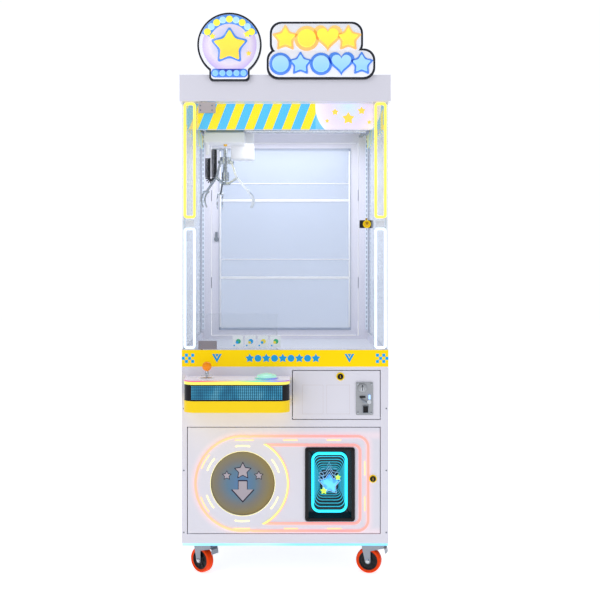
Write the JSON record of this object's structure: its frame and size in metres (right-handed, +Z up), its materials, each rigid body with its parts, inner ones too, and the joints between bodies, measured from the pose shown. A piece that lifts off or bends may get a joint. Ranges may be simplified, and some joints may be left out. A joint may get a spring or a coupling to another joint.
{
  "type": "claw crane machine",
  "caption": "Claw crane machine: glass case with travelling claw, stick-and-button console, coin door, prize flap and braked casters.",
  "frame": {"origin": "centre of the whole machine's footprint box, on the floor", "axes": "+X to the viewer's right as the machine is faced, +Y from the front to the back, +Z up"},
  "size_m": [0.816, 1, 2.187],
  "materials": {
    "white_panel": "satin",
    "zinc": "zinc plated",
    "chrome": "polished",
    "clear_acrylic": "clear",
    "glass": "clear",
    "neon": "glowing",
    "canopy_print": "printed",
    "sign_print": "moulded",
    "yellow_plastic": "gloss",
    "black_plastic": "satin",
    "black_steel": "satin",
    "orange_ball": "gloss",
    "mint_button": "gloss",
    "flap_print": "tinted",
    "brass_plug": "polished",
    "steel": "brushed",
    "orange_tyre": "polyurethane",
    "cord_black": "matt",
    "electronics": "matt"
  },
  "bodies": {
    "cabinet": {"base_frame": "zinc", "side_panels": "white_panel", "rear_panel": "white_panel", "front_panel": "white_panel", "deck": "white_panel", "front_columns": "clear_acrylic", "light_strips": "neon", "side_glass": "glass", "header_box": "white_panel", "canopy": "canopy_print", "header_signs": "sign_print", "prize_chute": "steel", "console_tray": "yellow_plastic", "console_display": "black_plastic", "console_top": "clear_acrylic", "gantry_rails": "steel", "electronics": "electronics", "coin_box": "steel"},
    "rear_door": {"rear_door": "white_panel"},
    "rear_lock": {"rear_lock": "black_steel"},
    "front_door": {"front_glass": "glass", "glass_clamps": "steel"},
    "front_lock": {"front_lock": "brass_plug"},
    "lower_door": {"lower_door": "white_panel", "door_lights": "neon", "light_box": "black_plastic"},
    "lower_lock": {"lower_lock": "brass_plug"},
    "prize_flap": {"prize_flap": "flap_print"},
    "coin_door": {"coin_door": "white_panel", "coin_acceptor": "zinc"},
    "reject_button": {"reject_button": "steel"},
    "coin_lock": {"coin_lock": "brass_plug"},
    "gimbal": {"joystick_gimbal": "steel"},
    "stick": {"joystick_stick": "orange_ball"},
    "push_button": {"push_button": "mint_button"},
    "bridge": {"bridge": "black_steel"},
    "bridge_shaft": {"bridge_shaft": "steel"},
    "trolley": {"trolley": "white_panel", "trolley_cover": "white_panel", "hoist_cord": "steel", "curly_cord": "cord_black"},
    "hoist_drum": {"hoist_drum": "steel"},
    "claw_head": {"claw_head": "chrome"},
    "plunger": {"claw_plunger": "chrome"},
    "fork_1": {"caster_fork_1": "zinc"},
    "wheel_1": {"caster_wheel_1": "orange_tyre"},
    "pedal_1": {"brake_pedal_1": "zinc"},
    "fork_2": {"caster_fork_2": "zinc"},
    "wheel_2": {"caster_wheel_2": "orange_tyre"},
    "pedal_2": {"brake_pedal_2": "zinc"},
    "fork_3": {"caster_fork_3": "zinc"},
    "wheel_3": {"caster_wheel_3": "orange_tyre"},
    "fork_4": {"caster_fork_4": "zinc"},
    "wheel_4": {"caster_wheel_4": "orange_tyre"},
    "arm_1": {"claw_arm_1": "chrome"},
    "link_1": {"claw_link_1": "chrome"},
    "arm_2": {"claw_arm_2": "chrome"},
    "link_2": {"claw_link_2": "chrome"},
    "arm_3": {"claw_arm_3": "chrome"},
    "link_3": {"claw_link_3": "chrome"}
  },
  "joints": [
    {"name": "caster_1_swivel", "type": "hinge", "parent": "cabinet", "child": "fork_1", "pos_m": [-0.31, -0.275, 0.13], "axis": [0, 0, 1], "continuous": true},
    {"name": "caster_1_roll", "type": "hinge", "parent": "fork_1", "child": "wheel_1", "pos_m": [-0.32838, -0.25957, 0.05], "axis": [-0.6428, -0.766, 0], "continuous": true},
    {"name": "brake_1", "type": "hinge", "parent": "fork_1", "child": "pedal_1", "pos_m": [-0.28395, -0.29685, 0.1106], "axis": [0.6428, 0.766, 0], "range_deg": [0, 25]},
    {"name": "caster_2_swivel", "type": "hinge", "parent": "cabinet", "child": "fork_2", "pos_m": [0.354, -0.275, 0.13], "axis": [0, 0, 1], "continuous": true},
    {"name": "caster_2_roll", "type": "hinge", "parent": "fork_2", "child": "wheel_2", "pos_m": [0.33117, -0.26758, 0.05], "axis": [-0.309, -0.9511, 0], "continuous": true},
    {"name": "brake_2", "type": "hinge", "parent": "fork_2", "child": "pedal_2", "pos_m": [0.38634, -0.28551, 0.1106], "axis": [0.309, 0.9511, 0], "range_deg": [0, 25]},
    {"name": "caster_3_swivel", "type": "hinge", "parent": "cabinet", "child": "fork_3", "pos_m": [-0.31, 0.425, 0.13], "axis": [0, 0, 1], "continuous": true},
    {"name": "caster_3_roll", "type": "hinge", "parent": "fork_3", "child": "wheel_3", "pos_m": [-0.33175, 0.43514, 0.05], "axis": [-0.4226, -0.9063, 0], "continuous": true},
    {"name": "caster_4_swivel", "type": "hinge", "parent": "cabinet", "child": "fork_4", "pos_m": [0.354, 0.425, 0.13], "axis": [0, 0, 1], "continuous": true},
    {"name": "caster_4_roll", "type": "hinge", "parent": "fork_4", "child": "wheel_4", "pos_m": [0.33321, 0.437, 0.05], "axis": [-0.5, -0.866, 0], "continuous": true},
    {"name": "rear_door", "type": "hinge", "parent": "cabinet", "child": "rear_door", "pos_m": [0.337, 0.494, 1.325], "axis": [0, 0, -1], "range_deg": [0, 110]},
    {"name": "rear_lock", "type": "hinge", "parent": "rear_door", "child": "rear_lock", "pos_m": [-0.321, 0.5, 1.3245], "axis": [0, -1, 0], "range_deg": [0, 90]},
    {"name": "front_door", "type": "hinge", "parent": "cabinet", "child": "front_door", "pos_m": [-0.324, -0.344, 1.368], "axis": [0, 0, -1], "range_deg": [0, 100]},
    {"name": "front_lock", "type": "hinge", "parent": "front_door", "child": "front_lock", "pos_m": [0.316, -0.344, 1.374], "axis": [0, 1, 0], "range_deg": [0, 90]},
    {"name": "lower_door", "type": "hinge", "parent": "cabinet", "child": "lower_door", "pos_m": [-0.371, -0.344, 0.3815], "axis": [0, 0, -1], "range_deg": [0, 110]},
    {"name": "lower_lock", "type": "hinge", "parent": "lower_door", "child": "lower_lock", "pos_m": [0.34, -0.35, 0.388], "axis": [0, 1, 0], "range_deg": [0, 90]},
    {"name": "prize_flap", "type": "hinge", "parent": "lower_door", "child": "prize_flap", "pos_m": [-0.164, -0.329, 0.5], "axis": [1, 0, 0], "range_deg": [0, 70]},
    {"name": "coin_door", "type": "hinge", "parent": "cabinet", "child": "coin_door", "pos_m": [0.1985, -0.344, 0.625], "axis": [1, 0, 0], "range_deg": [0, 95]},
    {"name": "coin_lock", "type": "hinge", "parent": "coin_door", "child": "coin_lock", "pos_m": [0.214, -0.35, 0.784], "axis": [0, -1, 0], "range_deg": [0, 90]},
    {"name": "reject_button", "type": "slide", "parent": "coin_door", "child": "reject_button", "axis": [0, 1, 0], "range_m": [0, 0.004], "stiffness_N_per_m": 300},
    {"name": "joystick_y", "type": "hinge", "parent": "cabinet", "child": "gimbal", "pos_m": [-0.297, -0.425, 0.751], "axis": [1, 0, 0], "range_deg": [-12, 12], "stiffness_Nm_per_rad": 1.5},
    {"name": "joystick_x", "type": "hinge", "parent": "gimbal", "child": "stick", "pos_m": [-0.297, -0.425, 0.751], "axis": [0, 1, 0], "range_deg": [-12, 12], "stiffness_Nm_per_rad": 1.5},
    {"name": "push_button", "type": "slide", "parent": "cabinet", "child": "push_button", "axis": [0, 0, -1], "range_m": [0, 0.004], "stiffness_N_per_m": 600},
    {"name": "bridge_travel", "type": "slide", "parent": "cabinet", "child": "bridge", "axis": [0, 1, 0], "range_m": [0, 0.4]},
    {"name": "drive_shaft", "type": "hinge", "parent": "bridge", "child": "bridge_shaft", "pos_m": [0, -0.125, 1.81905], "axis": [-1, 0, 0], "continuous": true},
    {"name": "trolley_travel", "type": "slide", "parent": "bridge", "child": "trolley", "axis": [1, 0, 0], "range_m": [0, 0.44]},
    {"name": "hoist", "type": "slide", "parent": "trolley", "child": "claw_head", "axis": [0, 0, -1], "range_m": [0, 0.55], "deforming": ["hoist_cord", "curly_cord"]},
    {"name": "drum_turn", "type": "hinge", "parent": "trolley", "child": "hoist_drum", "pos_m": [-0.244, -0.1114, 1.727], "axis": [1, 0, 0], "continuous": true},
    {"name": "claw_close", "type": "hinge", "parent": "claw_head", "child": "arm_1", "pos_m": [-0.21889, -0.13173, 1.632], "axis": [0.2588, 0.9659, 0], "range_deg": [0, 22], "stiffness_Nm_per_rad": 1.2},
    {"name": "link_1_turn", "type": "hinge", "parent": "arm_1", "child": "link_1", "pos_m": [-0.19667, -0.13768, 1.568], "axis": [0.2588, 0.9659, 0], "range_deg": [-70, 0]},
    {"name": "arm_2_close", "type": "hinge", "parent": "claw_head", "child": "arm_2", "pos_m": [-0.25073, -0.09989, 1.632], "axis": [-0.9659, -0.2588, 0], "range_deg": [0, 22.5]},
    {"name": "link_2_turn", "type": "hinge", "parent": "arm_2", "child": "link_2", "pos_m": [-0.25668, -0.07767, 1.568], "axis": [-0.9659, -0.2588, 0], "range_deg": [-70, 0]},
    {"name": "arm_3_close", "type": "hinge", "parent": "claw_head", "child": "arm_3", "pos_m": [-0.26238, -0.14339, 1.632], "axis": [0.7071, -0.7071, 0], "range_deg": [0, 22.5]},
    {"name": "link_3_turn", "type": "hinge", "parent": "arm_3", "child": "link_3", "pos_m": [-0.27865, -0.15965, 1.568], "axis": [0.7071, -0.7071, 0], "range_deg": [-70, 0]},
    {"name": "plunger", "type": "slide", "parent": "claw_head", "child": "plunger", "axis": [0, 0, -1], "range_m": [0, 0.0235]}
  ],
  "couplings": [
    {"joint": "link_1_turn", "follows": "claw_close", "ratio": -3.05},
    {"joint": "arm_2_close", "follows": "claw_close", "ratio": 1},
    {"joint": "link_2_turn", "follows": "claw_close", "ratio": -3.05},
    {"joint": "arm_3_close", "follows": "claw_close", "ratio": 1},
    {"joint": "link_3_turn", "follows": "claw_close", "ratio": -3.05},
    {"joint": "plunger", "follows": "claw_close", "m_per_rad": 0.06},
    {"joint": "drive_shaft", "follows": "bridge_travel", "rad_per_m": 66.667},
    {"joint": "drum_turn", "follows": "hoist", "rad_per_m": 73.529}
  ]
}
